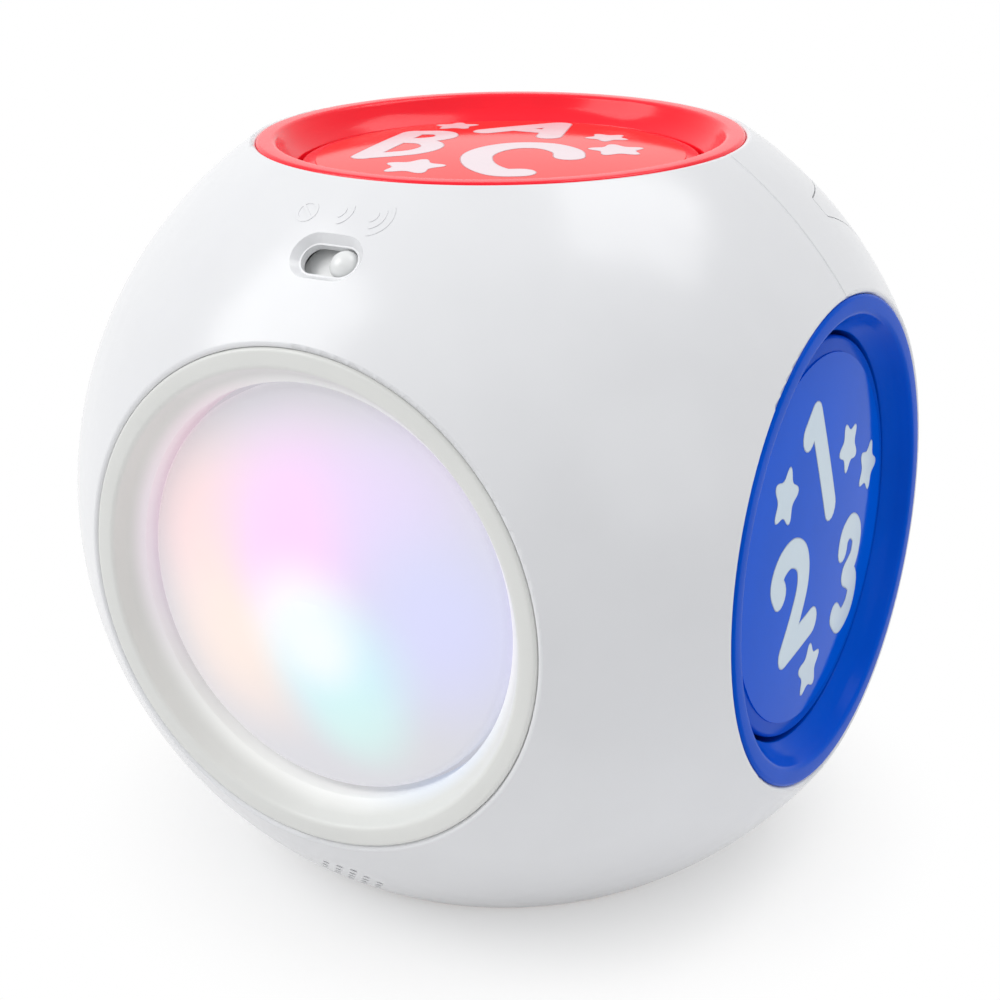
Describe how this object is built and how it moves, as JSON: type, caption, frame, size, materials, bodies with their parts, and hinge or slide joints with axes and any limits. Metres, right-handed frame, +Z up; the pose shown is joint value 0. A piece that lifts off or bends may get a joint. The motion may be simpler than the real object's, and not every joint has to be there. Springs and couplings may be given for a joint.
{
  "type": "baby activity cube",
  "caption": "Ball-shaped white activity cube with a coloured ring and a press-in picture disc in each flat face, a lit dome, a volume slide and a speaker grille.",
  "frame": {"origin": "centre of the resting plane, on the land of the bottom ring, under the ball centre", "axes": "+Z up through the top disc, -Y out of the face with the light dome, +X out of the face with the numbers"},
  "size_m": [0.15, 0.15, 0.15],
  "materials": {
    "white_shell": "glossy moulded ABS",
    "frosted_ring": "frosted translucent white plastic",
    "light_dome": "milky translucent plastic, lit from inside in several colours",
    "blue_plastic": "glossy moulded plastic",
    "blue_label": "printed film with pale pictures",
    "red_plastic": "glossy moulded plastic",
    "red_label": "printed film with pale pictures",
    "yellow_plastic": "glossy moulded plastic",
    "yellow_label": "printed film with pale pictures",
    "green_plastic": "glossy moulded plastic",
    "green_label": "printed film with pale pictures",
    "orange_plastic": "glossy moulded plastic",
    "orange_label": "printed film with pale pictures",
    "knob_plastic": "satin moulded plastic",
    "inner_plastic": "plain moulded plastic",
    "steel": "zinc-plated steel",
    "spring_steel": "bright spring wire",
    "cell_can": "printed cell sleeve over a metal can",
    "silicone": "translucent silicone",
    "circuit_board": "solder mask over glass epoxy",
    "black_parts": "black moulded parts",
    "led_lens": "clear lamp lens",
    "speaker_steel": "stamped steel",
    "paper_cone": "pressed paper",
    "magnet": "ferrite magnet and steel cup",
    "red_lead": "insulated wire",
    "black_lead": "insulated wire"
  },
  "bodies": {
    "housing": {"front_shell": "white_shell", "back_shell": "white_shell", "shell_screws": "steel", "battery_box": "inner_plastic", "battery_box_screws": "steel", "battery_cells": "cell_can", "battery_contacts": "spring_steel", "battery_springs": "spring_steel", "volume_switch_body": "steel", "volume_switch_screws": "steel", "speaker_frame": "speaker_steel", "speaker_cone": "paper_cone", "speaker_magnet": "magnet", "speaker_screws": "steel", "led_board": "circuit_board", "leds": "led_lens", "main_board": "circuit_board", "main_board_parts": "black_parts", "board_screws": "steel", "carrier_front": "inner_plastic", "carrier_screws": "steel", "cap_springs": "spring_steel", "contact_pads": "silicone", "key_boards": "circuit_board", "ring_front": "frosted_ring", "battery_lead_red": "red_lead", "battery_lead_black": "black_lead", "speaker_leads": "red_lead", "key_leads": "black_lead", "volume_leads": "black_lead", "led_leads": "red_lead", "ring_right": "blue_plastic", "carrier_right": "inner_plastic", "ring_back": "green_plastic", "carrier_back": "inner_plastic", "ring_left": "yellow_plastic", "carrier_left": "inner_plastic", "ring_top": "red_plastic", "carrier_top": "inner_plastic", "ring_bottom": "orange_plastic", "carrier_bottom": "inner_plastic"},
    "front_cap": {"light_dome": "light_dome"},
    "right_cap": {"button_right": "blue_plastic", "label_right": "blue_label"},
    "back_cap": {"button_back": "green_plastic", "label_back": "green_label"},
    "left_cap": {"button_left": "yellow_plastic", "label_left": "yellow_label"},
    "top_cap": {"button_top": "red_plastic", "label_top": "red_label"},
    "bottom_cap": {"button_bottom": "orange_plastic", "label_bottom": "orange_label"},
    "volume_slider": {"volume_knob": "knob_plastic", "volume_switch_lever": "black_parts"},
    "battery_cover": {"battery_door": "white_shell", "battery_door_screw": "steel", "door_contact_plate": "spring_steel"}
  },
  "joints": [
    {"name": "press_front", "type": "slide", "parent": "housing", "child": "front_cap", "axis": [0, 1, 0], "range_m": [0, 0.003], "stiffness_N_per_m": 350, "springref_m": -0.006, "deforming": ["cap_springs", "contact_pads"]},
    {"name": "press_right", "type": "slide", "parent": "housing", "child": "right_cap", "axis": [-1, 0, 0], "range_m": [0, 0.003], "stiffness_N_per_m": 350, "springref_m": -0.006, "deforming": ["cap_springs", "contact_pads"]},
    {"name": "press_back", "type": "slide", "parent": "housing", "child": "back_cap", "axis": [0, -1, 0], "range_m": [0, 0.003], "stiffness_N_per_m": 350, "springref_m": -0.006, "deforming": ["cap_springs", "contact_pads"]},
    {"name": "press_left", "type": "slide", "parent": "housing", "child": "left_cap", "axis": [1, 0, 0], "range_m": [0, 0.003], "stiffness_N_per_m": 350, "springref_m": -0.006, "deforming": ["cap_springs", "contact_pads"]},
    {"name": "press_top", "type": "slide", "parent": "housing", "child": "top_cap", "axis": [0, 0, -1], "range_m": [0, 0.003], "stiffness_N_per_m": 350, "springref_m": -0.006, "deforming": ["cap_springs", "contact_pads"]},
    {"name": "press_bottom", "type": "slide", "parent": "housing", "child": "bottom_cap", "axis": [0, 0, 1], "range_m": [0, 0.003], "stiffness_N_per_m": 350, "springref_m": -0.006, "deforming": ["cap_springs", "contact_pads"]},
    {"name": "volume_slide", "type": "slide", "parent": "housing", "child": "volume_slider", "axis": [1, 0, 0], "range_m": [-0.0057, 0]},
    {"name": "battery_cover_lift", "type": "slide", "parent": "housing", "child": "battery_cover", "axis": [0.5774, 0.5774, 0.5774], "range_m": [0, 0.04]}
  ]
}
